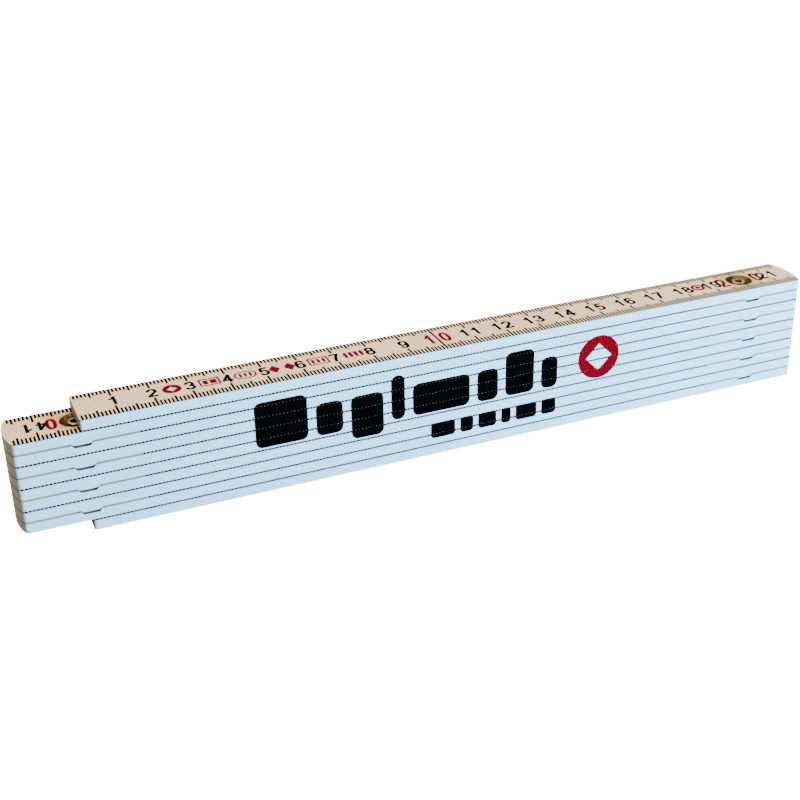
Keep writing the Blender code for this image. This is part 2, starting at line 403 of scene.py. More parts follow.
def ink_material(name, ink):
    """Printed ink, slightly thin in places, with a dull skin."""
    made, graph, shader, place = material(name)
    patches = graph.noise(place, 700.0, 3.0, 0.7)
    thin = graph.smooth(patches, 0.55, 0.85) * 0.35
    paler = [min(1.0, part * 1.3 + 0.006) for part in ink]
    printed = graph.mix(thin, rgba(ink), rgba(paler))
    roughness = patches * 0.2 + 0.5
    shader.inputs["Specular IOR Level"].default_value = 0.0
    finish_shader(graph, shader, printed, roughness, patches, 0.12, 0.00001)
    return made


def brass_material(sizes):
    """Old brass: tarnished in the hollows, rubbed bright in patches, finely scratched."""
    made, graph, shader, place = material(BRASS)
    x, y, _ = graph.parts(place)
    along = abs(x) - JOINT_REACH
    axis = graph.math("SQRT", along * along + y * y)
    patches = graph.noise(place, 900.0, 4.0, 0.65)
    scratches = graph.noise(graph.node("ShaderNodeVectorMath", {"operation": "MULTIPLY"},
                                       {0: place, 1: (1.0, 6.0, 1.0)}), 1800.0, 2.0, 0.5)
    rubbed = graph.smooth(patches, 0.35, 0.80)
    aged = graph.mix(rubbed, rgba(sizes.dark), rgba(sizes.light))
    head = graph.smooth(axis, 0.0011, 0.0014) * (1 - graph.smooth(axis, 0.0018, 0.0022))
    tone = graph.mix(head * (0.35 + 0.65 * rubbed), aged, rgba(sizes.worn))
    shader.inputs["Metallic"].default_value = 1.0
    finish_shader(graph, shader, tone, 0.5 - rubbed * 0.2, scratches + patches, 0.35, 0.00003)
    return made


# ---------------------------------------------------------------- meshes
def joint_x(number):
    """Where a joint stands along the folded rule: odd joints at +X, even joints at -X."""
    return JOINT_REACH if number % 2 else -JOINT_REACH


def limb_base(number):
    return (LIMB_COUNT - number) * LEVEL_PITCH


def limb_top(number, limbs):
    return limb_base(number) + LEVEL_PITCH - limbs.gap


def section(number):
    """Name of the CAD body that a limb belongs to."""
    return f"section_{number:02d}"


def new_piece(name, shape, finish=None):
    """Turn a bmesh into an object at the origin."""
    mesh = bpy.data.meshes.new(name)
    shape.to_mesh(mesh)
    shape.free()
    made = bpy.data.objects.new(name, mesh)
    if finish:
        mesh.materials.append(finish)
    bpy.context.scene.collection.objects.link(made)
    return made


def discard(item):
    """Remove a helper object and its mesh."""
    mesh = item.data
    bpy.data.objects.remove(item)
    bpy.data.meshes.remove(mesh)


def plain_copy(item, name):
    """A plain mesh object that holds what the item's modifiers make; the item is removed."""
    graph = bpy.context.evaluated_depsgraph_get()
    grown_item = item.evaluated_get(graph)
    mesh = bpy.data.meshes.new_from_object(grown_item, preserve_all_data_layers=True, depsgraph=graph)
    discard(item)
    mesh.name = name
    made = bpy.data.objects.new(name, mesh)
    bpy.context.scene.collection.objects.link(made)
    return made


def boolean(target, tool, operation):
    cut = target.modifiers.new(tool.name, "BOOLEAN")
    cut.operation = operation
    cut.solver = "EXACT"
    cut.object = tool


def carve(target, tools, name):
    """Apply (tool, operation) pairs to the target with exact Booleans, and remove the tools."""
    for tool, operation in tools:
        boolean(target, tool, operation)
    made = plain_copy(target, name)
    for tool, _ in tools:
        discard(tool)
    return made


def soften(item, angle):
    """Smooth shading with sharp edges kept, and flat faces that stay flat."""
    item.data.shade_smooth()
    item.data.set_sharp_from_angle(angle=math.radians(angle))
    even = item.modifiers.new("even", "WEIGHTED_NORMAL")
    even.keep_sharp = True
    even.weight = 100
    name = item.name
    item.name = name + "_raw"
    return plain_copy(item, name)


def settle(piece, body, slot, *nodes):
    """Hang a finished piece on its CAD body and hide the CAD nodes it stands for. The slot is not used."""
    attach(piece, body)
    if nodes:
        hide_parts(*nodes)


def end_outline(reach, corner, end_radius, inset):
    """Plan of a limb end that points to +X, from its -Y side to its +Y side, drawn in by inset."""
    corner_steps = 8
    end_steps = 16
    half = HALF_WIDTH - corner
    lean = math.asin(half / (end_radius - corner)) if end_radius else 0.0
    corner_x = reach - corner
    if end_radius:
        corner_x = reach - end_radius + (end_radius - corner) * math.cos(lean)
    drawn = corner - inset
    points = []
    for step in range(corner_steps + 1):
        turn = (math.pi / 2 - lean) * step / corner_steps - math.pi / 2
        points.append((corner_x + drawn * math.cos(turn), drawn * math.sin(turn) - half))
    for step in range(1, end_steps if end_radius else 1):
        turn = lean * (2 * step / end_steps - 1)
        bow = end_radius - inset
        points.append((reach - end_radius + bow * math.cos(turn), bow * math.sin(turn)))
    for step in range(corner_steps + 1):
        turn = lean + (math.pi / 2 - lean) * step / corner_steps
        points.append((corner_x + drawn * math.cos(turn), drawn * math.sin(turn) + half))
    return points


def limb_outline(number, sizes, inset):
    """Plan of a limb. Limbs 1 and 10 are cut off square at a joint axis of the others."""
    bowed = end_outline(LIMB_REACH, sizes.corner_radius, sizes.end_radius, inset)
    square = end_outline(JOINT_REACH, sizes.cut_corner_radius, 0.0, inset)
    far = square if number in (1, LIMB_COUNT) else bowed
    return bowed + [(-x, -y) for x, y in far]


def loft(rings):
    """Close a stack of rings of (x, y, z) points into a solid."""
    shape = bmesh.new()
    rows = [[shape.verts.new(point) for point in ring] for ring in rings]
    for low, high in zip(rows, rows[1:]):
        for step in range(len(low)):
            after = (step + 1) % len(low)
            shape.faces.new((low[step], low[after], high[after], high[step]))
    shape.faces.new(list(reversed(rows[0])))
    shape.faces.new(rows[-1])
    return shape


def turned(profile, x, facets, ring, wave=None):
    """Turn (radius, height) points about the vertical axis at x; wave(index, turn) may move a point."""
    shape = bmesh.new()
    rows = []
    for index, (radius, height) in enumerate(profile):
        row = []
        for step in range(facets):
            turn = 2 * math.pi * (step + 0.5) / facets
            grow, lift = wave(index, turn) if wave else (0.0, 0.0)
            reach = radius + grow
            if radius == 0 and step:
                row.append(row[0])
                continue
            row.append(shape.verts.new((x + reach * math.cos(turn), reach * math.sin(turn), height + lift)))
        rows.append(row)
    pairs = list(zip(rows, rows[1:]))
    if ring:
        pairs.append((rows[-1], rows[0]))
    for low, high in pairs:
        for step in range(facets):
            after = (step + 1) % facets
            corners = [low[step], low[after], high[after], high[step]]
            shape.faces.new(list(dict.fromkeys(corners)))
    bmesh.ops.recalc_face_normals(shape, faces=shape.faces)
    return shape


def limb_rings(number, sizes, low, high, rim):
    """Rings of a limb's solid between two heights, with rounded rims."""
    rim_steps = 4
    rings = []
    for step in range(rim_steps + 1):
        turn = math.pi / 2 * step / rim_steps
        inset = rim * (1 - math.sin(turn))
        outline = limb_outline(number, sizes, inset)
        rings.append([(x, y, low + rim * (1 - math.cos(turn))) for x, y in outline])
    upper = [[(x, y, low + high - z) for x, y, z in ring] for ring in reversed(rings)]
    return rings + upper


def boss(number, sizes, base):
    """The boss under a limb: a low cone cut off by the limb's own sides."""
    root = base + sizes.rim_radius * 2
    tip = base - sizes.boss_height
    profile = [(0, tip), (sizes.boss_tip_radius, tip), (sizes.boss_root_radius, base),
               (sizes.boss_root_radius, root), (0, root)]
    cone = new_piece(f"boss_{number:02d}", turned(profile, joint_x(number), BOSS_FACETS, False))
    outline = limb_outline(number, sizes, 0.0)
    below = tip - MM
    sides = new_piece("boss_sides", loft([[(x, y, z) for x, y in outline] for z in (below, root + MM)]))
    return carve(cone, [(sides, "INTERSECT")], f"boss_{number:02d}")


def seat_mouth(sizes, face, outward):
    """Profile of a rosette seat, from the hole out to beyond the face.

    outward is +1 upwards or -1 downwards."""
    floor = face - outward * sizes.seat_depth
    points = [(sizes.hole_radius, floor), (sizes.seat_radius, floor)]
    for step in range(5):
        turn = math.pi / 2 * step / 4
        radius = sizes.seat_radius + sizes.seat_lip * (1 - math.cos(turn))
        points.append((radius, face - outward * sizes.seat_lip * (1 - math.sin(turn))))
    points += [(sizes.seat_radius + sizes.seat_lip, face + outward * MM), (0, face + outward * MM)]
    return points


def upper_seat(number, sizes, base, top):
    """Cutter for the hole and rosette seat of the upper limb of a joint."""
    low = base - sizes.boss_height - MM
    profile = [(0, low), (sizes.hole_radius, low)] + seat_mouth(sizes, top, 1)
    return new_piece("upper_seat", turned(profile, joint_x(number), SEAT_FACETS, False))


def lower_seat(number, sizes, base, top):
    """Cutter for the boss pocket, hole and rosette seat of the lower limb of a joint."""
    floor = top - sizes.pocket_depth
    flare = (sizes.pocket_mouth_radius - sizes.pocket_floor_radius) / sizes.pocket_depth
    mouth = sizes.pocket_mouth_radius + flare * MM
    profile = [(0, top + MM), (mouth, top + MM), (sizes.pocket_floor_radius, floor),
               (sizes.hole_radius, floor)]
    profile += seat_mouth(sizes, base, -1)
    return new_piece("lower_seat", turned(profile, joint_x(number), BOSS_FACETS, False))


def moulding_ring(sizes, face, x):
    """Cutter for the shallow ring that the mould left in a face."""
    groove = 0.00012
    depth = 0.00006
    radius = sizes.moulding_ring_radius
    profile = [(radius - groove, face - depth), (radius + groove, face - depth),
               (radius + groove, face + depth), (radius - groove, face + depth)]
    return new_piece("moulding_ring", turned(profile, x, MOULDING_FACETS, True))


class RULE_OT_limbs(bpy.types.Operator):
    """Build the ten plastic limbs with rounded rims and their halves of the joints"""

    bl_idname = "rule.limbs"
    bl_label = "Limbs"

    def execute(self, context):
        sizes = context.scene.rule_limbs
        for number in range(1, LIMB_COUNT + 1):
            base = limb_base(number)
            top = limb_top(number, sizes)
            name = f"rule_limb_{number:02d}"
            body = new_piece(name + "_blank", loft(limb_rings(number, sizes, base, top, sizes.rim_radius)))
            tools = []
            if number < LIMB_COUNT:
                tools.append((boss(number, sizes, base), "UNION"))
                tools.append((upper_seat(number, sizes, base, top), "DIFFERENCE"))
            if number > 1:
                tools.append((lower_seat(number - 1, sizes, base, top), "DIFFERENCE"))
            if number == 1:
                tools.append((moulding_ring(sizes, top, MOULDING_PLACE - JOINT_REACH), "DIFFERENCE"))
            limb = soften(carve(body, tools, name), LIMB_SHARP)
            limb.data.materials.clear()
            limb.data.materials.append(plastic_material(number, sizes))
            settle(limb, section(number), "limb_plastic", f"limb_{number:02d}")
        return {"FINISHED"}


# ---------------------------------------------------------------- printed scales
def reading_x(limb, reading):
    """Where a reading in millimetres stands along the folded rule on the top of a limb."""
    along = reading * MM - JOINT_PITCH * (limb - 1)
    return along - JOINT_REACH if limb % 2 else JOINT_REACH - along


def marked_readings(limb, prints):
    """First and last printed reading on the top of a limb."""
    joint = round(JOINT_PITCH / MM) * (limb - 1)
    clear = round(prints.clear_zone / MM)
    overhang = math.floor((LIMB_REACH - JOINT_REACH - prints.mark_margin) / MM)
    first = joint + (1 if limb == 1 else clear)
    last = joint + round(JOINT_PITCH / MM) + (-1 if limb == LIMB_COUNT else overhang)
    return first, last


def new_tree(name, inputs):
    """A Geometry Nodes tree with named inputs: its graph and its input links by name."""
    tree = bpy.data.node_groups.new(name, "GeometryNodeTree")
    for label, kind, default in inputs:
        socket = tree.interface.new_socket(name=label, in_out="INPUT", socket_type=kind)
        if default is not None:
            socket.default_value = default
    tree.interface.new_socket(name="Geometry", in_out="OUTPUT", socket_type="NodeSocketGeometry")
    graph = Graph(tree)
    start = tree.nodes.new("NodeGroupInput")
    given = {label: Link(graph, start.outputs[label]) for label, _, _ in inputs}
    return graph, given


def end_tree(graph, geometry):
    """Make the geometry the tree's result."""
    end = graph.tree.nodes.new("NodeGroupOutput")
    graph.tree.links.new(geometry.socket, end.inputs[0])
    return graph.tree


def call_tree(graph, tree, values):
    """Use one tree inside another."""
    return graph.node("GeometryNodeGroup", {"node_tree": tree}, values)


FLOAT = "NodeSocketFloat"
WHOLE = "NodeSocketInt"
# inputs that say which marks a row has, and inputs that both faces of a limb share
ROW_INPUTS = [("First X", FLOAT, 0.0), ("First reading", FLOAT, 0.0), ("Reading step", FLOAT, 1.0),
              ("Count", WHOLE, 10)]
SHARED_INPUTS = [("Half height", FLOAT, 0.0015), ("Half width", FLOAT, 0.0075),
                 ("Rim radius", FLOAT, 0.00025), ("Width", FLOAT, 0.0004),
                 ("Long width", FLOAT, 0.0004), ("Millimetre", FLOAT, 0.0026),
                 ("Half centimetre", FLOAT, 0.0035), ("Centimetre", FLOAT, 0.0045), ("Joint", FLOAT, 0.0033),
                 ("Sunk", FLOAT, 0.00001), ("Ink", FLOAT, 0.00002)]


def mark_pair_tree():
    """Two printed marks, one from each side of a limb, each wrapped over the rounded rim."""
    inputs = [("Length", FLOAT, 0.003), ("Width", FLOAT, 0.0004), ("Half width", FLOAT, 0.0075),
              ("Rim radius", FLOAT, 0.00025), ("Wrap", FLOAT, 1.15), ("Sunk", FLOAT, 0.00001),
              ("Ink", FLOAT, 0.00002)]
    graph, given = new_tree("printed mark pair", inputs)
    rows = 5
    strip = graph.node("GeometryNodeMeshGrid", None,
                       {"Size X": given["Width"], "Size Y": 1.0, "Vertices X": 2, "Vertices Y": rows})
    across, along, _ = graph.parts(graph.node("GeometryNodeInputPosition"))
    row = (0.5 - along) * (rows - 1.0)
    tip = row < 0.5
    turn = (row - 1.0) / (rows - 2.0) * given["Wrap"]
    inner = given["Rim radius"] - given["Sunk"]
    rim_y = given["Rim radius"] - given["Half width"] - inner * graph.math("SINE", turn)
    rim_z = inner * graph.math("COSINE", turn) - given["Rim radius"]
    y = tip * (given["Length"] - given["Half width"]) + (1 - tip) * rim_y
    z = (1 - tip) * rim_z - tip * given["Sunk"]
    bent = graph.node("GeometryNodeSetPosition", None,
                      {"Geometry": strip, "Position": graph.xyz(across, y, z)})
    raised = graph.node("GeometryNodeExtrudeMesh", {"mode": "FACES"},
                        {"Mesh": bent, "Offset Scale": given["Ink"], "Individual": False})
    under = graph.node("GeometryNodeFlipFaces", None, {"Mesh": bent})
    mark = graph.node("GeometryNodeMergeByDistance", None,
                      {"Geometry": graph.join(raised, under), "Distance": 1e-7})
    other = graph.node("GeometryNodeTransform", None, {"Geometry": mark, "Rotation": (0.0, 0.0, math.pi)})
    return end_tree(graph, graph.join(mark, other))


def mark_row_tree(pair):
    """A row of marks a millimetre apart on the upper face of a plate whose mid-height is at zero."""
    graph, given = new_tree("row of marks", ROW_INPUTS + SHARED_INPUTS)
    line = graph.node("GeometryNodeMeshLine", {"mode": "OFFSET"},
                      {"Count": given["Count"], "Start Location": graph.xyz(given["First X"], 0.0, 0.0),
                       "Offset": (MM, 0.0, 0.0)})
    reading = given["First reading"] + given["Reading step"] * graph.node("GeometryNodeInputIndex")
    at_joint = (reading % 200.0) < 0.5
    at_line = ((reading % 100.0) < 0.5) * (1 - at_joint)
    at_centimetre = ((reading % 10.0) < 0.5) * (1 - at_joint) * (1 - at_line)
    at_half = ((reading % 5.0) < 0.5) * ((reading % 10.0) > 0.5)
    at_millimetre = (reading % 5.0) > 0.5
    kinds = [(at_joint, "Joint", "Long width"), (at_line, "Half width", "Long width"),
             (at_centimetre, "Centimetre", "Long width"), (at_half, "Half centimetre", "Long width"),
             (at_millimetre, "Millimetre", "Width")]
    rows = []
    passed_on = {label: given[label] for label in ("Half width", "Rim radius", "Sunk", "Ink")}
    for chosen, length_name, width_name in kinds:
        mark = call_tree(graph, pair, {"Length": given[length_name], "Width": given[width_name], **passed_on})
        rows.append(graph.node("GeometryNodeInstanceOnPoints", None,
                               {"Points": line, "Selection": chosen, "Instance": mark}))
    up = graph.xyz(0.0, 0.0, given["Half height"])
    raised = graph.node("GeometryNodeTransform", None, {"Geometry": graph.join(*rows), "Translation": up})
    return end_tree(graph, raised)


def scale_tree(row):
    """The marks on both faces of one limb, as one plain mesh of ink."""
    inputs = []
    for face in ("Top", "Underside"):
        inputs += [(f"{face} {label}", kind, default) for label, kind, default in ROW_INPUTS]
    inputs += SHARED_INPUTS + [("Middle height", FLOAT, 0.0), ("Ink material", "NodeSocketMaterial", None)]
    graph, given = new_tree("printed scale", inputs)
    faces = []
    for face in ("Top", "Underside"):
        values = {label: given[f"{face} {label}"] for label, _, _ in ROW_INPUTS}
        values.update({label: given[label] for label, _, _ in SHARED_INPUTS})
        faces.append(call_tree(graph, row, values))
    turned_over = graph.node("GeometryNodeTransform", None,
                             {"Geometry": faces[1], "Rotation": (math.pi, 0.0, 0.0)})
    lifted = graph.node("GeometryNodeTransform", None,
                        {"Geometry": graph.join(faces[0], turned_over),
                         "Translation": graph.xyz(0.0, 0.0, given["Middle height"])})
    real = graph.node("GeometryNodeRealizeInstances", None, {"Geometry": lifted})
    inked = graph.node("GeometryNodeSetMaterial", None, {"Geometry": real, "Material": given["Ink material"]})
    return end_tree(graph, inked)


def grown(name, tree, values, carrier=None):
    """Run a Geometry Nodes tree on a carrier and return the result as a plain mesh object."""
    if carrier is None:
        carrier = new_piece(name + "_carrier", bmesh.new())
    nodes = carrier.modifiers.new("grow", "NODES")
    nodes.node_group = tree
    sockets = {item.name: item.identifier for item in tree.interface.items_tree if item.in_out == "INPUT"}
    for label, value in values.items():
        nodes[sockets[label]] = value
    return plain_copy(carrier, name)


class RULE_OT_scales(bpy.types.Operator):
    """Print the millimetre scales along both sides of both faces of every limb"""

    bl_idname = "rule.scales"
    bl_label = "Scales"

    def execute(self, context):
        limbs = context.scene.rule_limbs
        prints = context.scene.rule_prints
        ink = ink_material("black_scale_ink", prints.black)
        tree = scale_tree(mark_row_tree(mark_pair_tree()))
        half_height = (LEVEL_PITCH - limbs.gap) / 2
        for number in range(1, LIMB_COUNT + 1):
            values = {"Half height": half_height, "Half width": HALF_WIDTH, "Rim radius": limbs.rim_radius,
                      "Width": prints.mark_width, "Long width": prints.long_mark_width,
                      "Millimetre": prints.millimetre_mark, "Half centimetre": prints.half_mark,
                      "Centimetre": prints.centimetre_mark, "Joint": prints.joint_mark,
                      "Sunk": prints.ink_sunk, "Ink": prints.ink_proud + prints.ink_sunk,
                      "Middle height": limb_base(number) + half_height, "Ink material": ink}
            for face, limb in (("Top", number), ("Underside", LIMB_COUNT + 1 - number)):
                first, last = marked_readings(limb, prints)
                start, step = (first, 1.0) if limb % 2 else (last, -1.0)
                values[f"{face} First X"] = reading_x(limb, start)
                values[f"{face} First reading"] = float(start)
                values[f"{face} Reading step"] = step
                values[f"{face} Count"] = last - first + 1
            scale = grown(f"scale_marks_{number:02d}", tree, values)
            settle(scale, section(number), "black_ink")
        return {"FINISHED"}


# ---------------------------------------------------------------- printed digits
# stroke of the narrow digits, as a share of the others'
NARROW_PEN = 0.85


def arc(cx, cy, rx, ry, start, stop):
    """Points of a squarish arc; the angles are in degrees, anticlockwise."""
    steps = max(3, round(abs(stop - start) / 15))
    squareness = 0.86
    points = []
    for step in range(steps + 1):
        turn = math.radians(start + (stop - start) * step / steps)
        side = math.copysign(abs(math.cos(turn)) ** squareness, math.cos(turn))
        rise = math.copysign(abs(math.sin(turn)) ** squareness, math.sin(turn))
        points.append((cx + rx * side, cy + ry * rise))
    return points


def digit_strokes(digit):
    """Centre lines of a digit, on a field that reaches from -1 to 1 both ways.

    A loop ends where it starts, and a 9 is a 6 turned half round."""
    if digit == 0:
        return [arc(0, 0, 1, 1, 0, 360)]
    if digit == 1:
        return [[(0.35, 1), (0.35, -1)], [(0.30, 0.86), (0.02, 0.62), (-0.55, 0.50)]]
    if digit == 2:
        return [arc(0, 0.46, 1, 0.54, 165, -30) + [(-0.78, -0.80)], [(-0.95, -1), (0.95, -1)]]
    if digit == 3:
        return [arc(-0.04, 0.50, 0.90, 0.50, 160, -75), arc(-0.04, -0.49, 1, 0.51, 75, -162)]
    if digit == 4:
        return [[(0.5, 0.96), (0.5, -1)], [(-1.12, -0.5), (1.1, -0.5)], [(0.42, 0.94), (-1.04, -0.44)]]
    if digit == 5:
        return [[(-0.62, 1), (0.78, 1)], [(-0.66, 0.96), (-0.84, 0.10)],
                arc(-0.02, -0.38, 1, 0.62, 132, -155)]
    if digit == 6:
        return [arc(0, -0.40, 1, 0.60, 0, 360), arc(0.08, 0.06, 1.06, 0.94, 42, 178) + [(-0.98, -0.35)]]
    if digit == 7:
        return [[(-0.92, 1), (0.92, 1)], [(0.88, 0.92), (0.10, -0.10), (-0.28, -1)]]
    if digit == 8:
        return [arc(0, 0.51, 0.88, 0.49, 0, 360), arc(0, -0.47, 1, 0.53, 0, 360)]
    return [[(-x, -y) for x, y in stroke] for stroke in digit_strokes(6)]


def stroke_solid(points, stroke, low, high):
    """A flat closed ribbon along points.

    A stroke that ends where it starts is a loop; others get square ends."""
    looped = (Vector(points[0]) - Vector(points[-1])).length < 1e-6
    line = [Vector(point) for point in (points[:-1] if looped else points)]
    if not looped:
        line[0] = line[0] + (line[0] - line[1]).normalized() * stroke / 2
        line[-1] = line[-1] + (line[-1] - line[-2]).normalized() * stroke / 2
    shape = bmesh.new()
    rows = []
    for index, point in enumerate(line):
        before = line[index - 1] if index or looped else point
        after = line[(index + 1) % len(line)] if index < len(line) - 1 or looped else point
        arrive = (point - before).normalized() if before != point else (after - point).normalized()
        leave = (after - point).normalized() if after != point else arrive
        across = (arrive + leave).normalized().orthogonal()
        reach = stroke / 2 / max(0.5, across.dot(arrive.orthogonal()))
        corners = [(point + across * reach, low), (point - across * reach, low),
                   (point - across * reach, high), (point + across * reach, high)]
        rows.append([shape.verts.new((place.x, place.y, z)) for place, z in corners])
    pairs = list(zip(rows, rows[1:]))
    if looped:
        pairs.append((rows[-1], rows[0]))
    else:
        shape.faces.new(rows[0])
        shape.faces.new(list(reversed(rows[-1])))
    for first, second in pairs:
        for side in range(4):
            after = (side + 1) % 4
            shape.faces.new((first[side], first[after], second[after], second[side]))
    bmesh.ops.recalc_face_normals(shape, faces=shape.faces)
    return shape


def digit_set(name, height, widths, stroke, prints):
    """Ten digits of each width as flat solids in a collection, in order."""
    kept = bpy.data.collections.new(name)
    for row, width in enumerate(widths):
        pen = stroke * (NARROW_PEN if row else 1.0)
        for digit in range(10):
            solids = []
            for points in digit_strokes(digit):
                placed = [(x * (width - pen) / 2, y * (height - pen) / 2) for x, y in points]
                shape = stroke_solid(placed, pen, -prints.ink_sunk, prints.ink_proud)
                solids.append(new_piece(f"{name}_stroke", shape))
            drawn = carve(solids[0], [(solid, "UNION") for solid in solids[1:]], f"{name}_{row}{digit}")
            bpy.context.scene.collection.objects.unlink(drawn)
            kept.objects.link(drawn)
    return kept


def digits_tree():
    """Put a digit of a set on every point of the carrier, chosen and turned by the point's own values."""
    inputs = [("Geometry", "NodeSocketGeometry", None), ("Digits", "NodeSocketCollection", None),
              ("Ink material", "NodeSocketMaterial", None)]
    graph, given = new_tree("printed digits", inputs)
    digits = graph.node("GeometryNodeCollectionInfo", None,
                        {"Collection": given["Digits"], "Separate Children": True, "Reset Children": True})
    chosen = graph.node("GeometryNodeInputNamedAttribute", {"data_type": "INT"}, {"Name": "digit"})
    turn = graph.node("GeometryNodeInputNamedAttribute", {"data_type": "FLOAT_VECTOR"}, {"Name": "turn"})
    placed = graph.node("GeometryNodeInstanceOnPoints", None,
                        {"Points": given["Geometry"], "Instance": digits, "Pick Instance": True,
                         "Instance Index": chosen,
                         "Rotation": graph.node("FunctionNodeEulerToRotation", None, {0: turn})})
    real = graph.node("GeometryNodeRealizeInstances", None, {"Geometry": placed})
    inked = graph.node("GeometryNodeSetMaterial", None, {"Geometry": real, "Material": given["Ink material"]})
    return end_tree(graph, inked)


def black_digits(limb, prints):
    """(digit, reading along the limb, offset in metres in reading direction) of a limb's black numbers.

    The ten narrow digits come after the ten others."""
    first, last = marked_readings(limb, prints)
    found = []
    for centimetre in range(math.ceil(first / 10), last // 10 + 1):
        under_red = centimetre % 10 == 0 or (centimetre >= 99 and centimetre % 20 == 19)
        if under_red or (centimetre * 10 - first < 4 and limb > 1):
            continue
        text = str(centimetre)
        narrow = len(text) > 2
        pitch = prints.narrow_pitch if narrow else prints.digit_pitch
        for place, character in enumerate(text):
            offset = (place - (len(text) - 1) / 2) * pitch
            found.append((int(character) + 10 * narrow, centimetre * 10, offset))
    return found


def red_digits(limb, prints):
    """The same for the red decade numbers, which stand on either side of a line or a rosette."""
    first, last = marked_readings(limb, prints)
    found = []
    for centimetre in range(math.ceil(first / 100) * 10, last // 10 + 1, 10):
        at_joint = centimetre % 20 == 0
        reach = prints.joint_offset if at_joint else prints.decade_offset
        text = str(centimetre)
        narrow = len(text) > 2
        found.append((int(text[-1]) + 10 * narrow, centimetre * 10, reach))
        for place, character in enumerate(reversed(text[:-1])):
            offset = -reach - place * prints.decade_pitch
            found.append((int(character) + 10 * narrow, centimetre * 10, offset))
    return found


def digit_carrier(name, number, found_on, limbs):
    """Points for the digits on both faces of a limb, with the digit and the turn of each as attributes."""
    shape = bmesh.new()
    digits = []
    turns = []
    top = limb_top(number, limbs)
    for underside, limb in ((False, number), (True, LIMB_COUNT + 1 - number)):
        height = limb_base(number) if underside else top
        forward = 1 if limb % 2 else -1
        for digit, reading, offset in found_on(limb):
            shape.verts.new((reading_x(limb, reading) + forward * offset, 0, height))
            face = Matrix.Rotation(math.pi if underside else 0.0, 3, "X")
            plan = Matrix.Rotation(0.0 if limb % 2 else math.pi, 3, "Z")
            digits.append(digit)
            turns += list((face @ plan).to_euler())
    carrier = new_piece(name + "_carrier", shape)
    mesh = carrier.data
    mesh.attributes.new("digit", "INT", "POINT").data.foreach_set("value", digits)
    mesh.attributes.new("turn", "FLOAT_VECTOR", "POINT").data.foreach_set("vector", turns)
    return carrier


class RULE_OT_numbers(bpy.types.Operator):
    """Print the black centimetre numbers and the red decade numbers on both faces of every limb"""

    bl_idname = "rule.numbers"
    bl_label = "Numbers"

    def execute(self, context):
        limbs = context.scene.rule_limbs
        prints = context.scene.rule_prints
        tree = digits_tree()
        styles = [
            ("black_numbers", prints.digit_height, (prints.digit_width, prints.narrow_width),
             prints.digit_stroke, black_digits, "black_ink", prints.black),
            ("red_numbers", prints.decade_height, (prints.decade_width, prints.narrow_decade),
             prints.decade_stroke, red_digits, "red_ink", prints.red),
        ]
        for name, height, widths, stroke, found, slot, ink in styles:
            inked = ink_material(name + "_ink", ink)
            digits = digit_set(name + "_digit", height, widths, stroke, prints)
            for number in range(1, LIMB_COUNT + 1):
                piece_name = f"{name}_{number:02d}"
                carrier = digit_carrier(piece_name, number, lambda limb: found(limb, prints), limbs)
                piece = grown(piece_name, tree, {"Digits": digits, "Ink material": inked}, carrier)
                settle(piece, section(number), slot)
            for drawn in list(digits.objects):
                discard(drawn)
            bpy.data.collections.remove(digits)
        return {"FINISHED"}


# ---------------------------------------------------------------- printed marks and side print
def rounded(x, y, width, height, radius, steps=5):
    """Outline of a rounded rectangle about (x, y); a radius of half the height gives an oval or a disc."""
    points = []
    for quarter, (side, rise) in enumerate(((1, -1), (1, 1), (-1, 1), (-1, -1))):
        cx = x + side * (width / 2 - radius)
        cy = y + rise * (height / 2 - radius)
        for step in range(steps + 1):
            turn = math.pi / 2 * (quarter - 1 + step / steps)
            points.append((cx + radius * math.cos(turn), cy + radius * math.sin(turn)))
    return points


def diamond(x, y, reach, rise):
    return [(x + reach, y), (x, y + rise), (x - reach, y), (x, y - rise)]


def slab(outline, low, high):
    return loft([[(x, y, z) for x, y in outline] for z in (low, high)])


def frame_of(outline_at, width):
    """An outline and the same outline drawn in by width, for a hollow mark."""
    return outline_at(0.0), outline_at(width)


def on_limb(outline, over):
    """A mark's outline in metres on the top (over is 1) or the underside (over is -1), anticlockwise."""
    placed = [(x * MM - JOINT_REACH, over * y * MM) for x, y in outline]
    return placed if over > 0 else list(reversed(placed))


def flat_marks():
    """Filled outlines and the outlines cut out of them, in millimetres from the zero end of limb 1."""
    line = 0.52
    marks = [(rounded(25.2, 0.1, 5.0, 5.0, 2.5, 10), diamond(25.2, 0.1, 1.35, 1.35))]
    marks.append(frame_of(lambda inset: rounded(35.2, 0.1, 5.6 - 2 * inset, 4.3 - 2 * inset, 0.35), line))
    marks += [(rounded(34.1, 0.1, 1.3, 2.4, 0.3), None), (rounded(36.2, 0.1, 1.8, 2.4, 0.3), None)]
    marks.append(frame_of(
        lambda inset: rounded(44.9, 0.1, 6.2 - 2 * inset, 4.4 - 2 * inset, 2.19 - inset, 8), line))
    marks += [(rounded(44.9 + step, 0.1, 0.72, 2.4, 0.3), None) for step in (-1.35, 0, 1.35)]
    marks += [(diamond(52.9, 0.1, 1.6, 2.4), None), (diamond(57.1, 0.1, 1.6, 2.4), None)]
    marks.append(frame_of(lambda inset: rounded(65.2, 0.1, 5.8 - 2 * inset, 4.4 - 2 * inset, 0.35), line))
    marks += [(rounded(65.2 + step, 0.1, 0.85, 2.5, 0.3), None) for step in (-1.5, 0, 1.5)]
    marks += [(rounded(73.0 + step, 0.1, 0.98, 3.4, 0.4), None) for step in (0, 1.5, 3.0, 4.5)]
    marks.append((rounded(185.5, 0.1, 4.3, 4.3, 2.15, 10), rounded(185.5, 0.1, 2.5, 2.5, 1.25, 10)))
    marks.append((rounded(185.5, 0.1, 1.7, 1.7, 0.85, 8), None))
    return marks


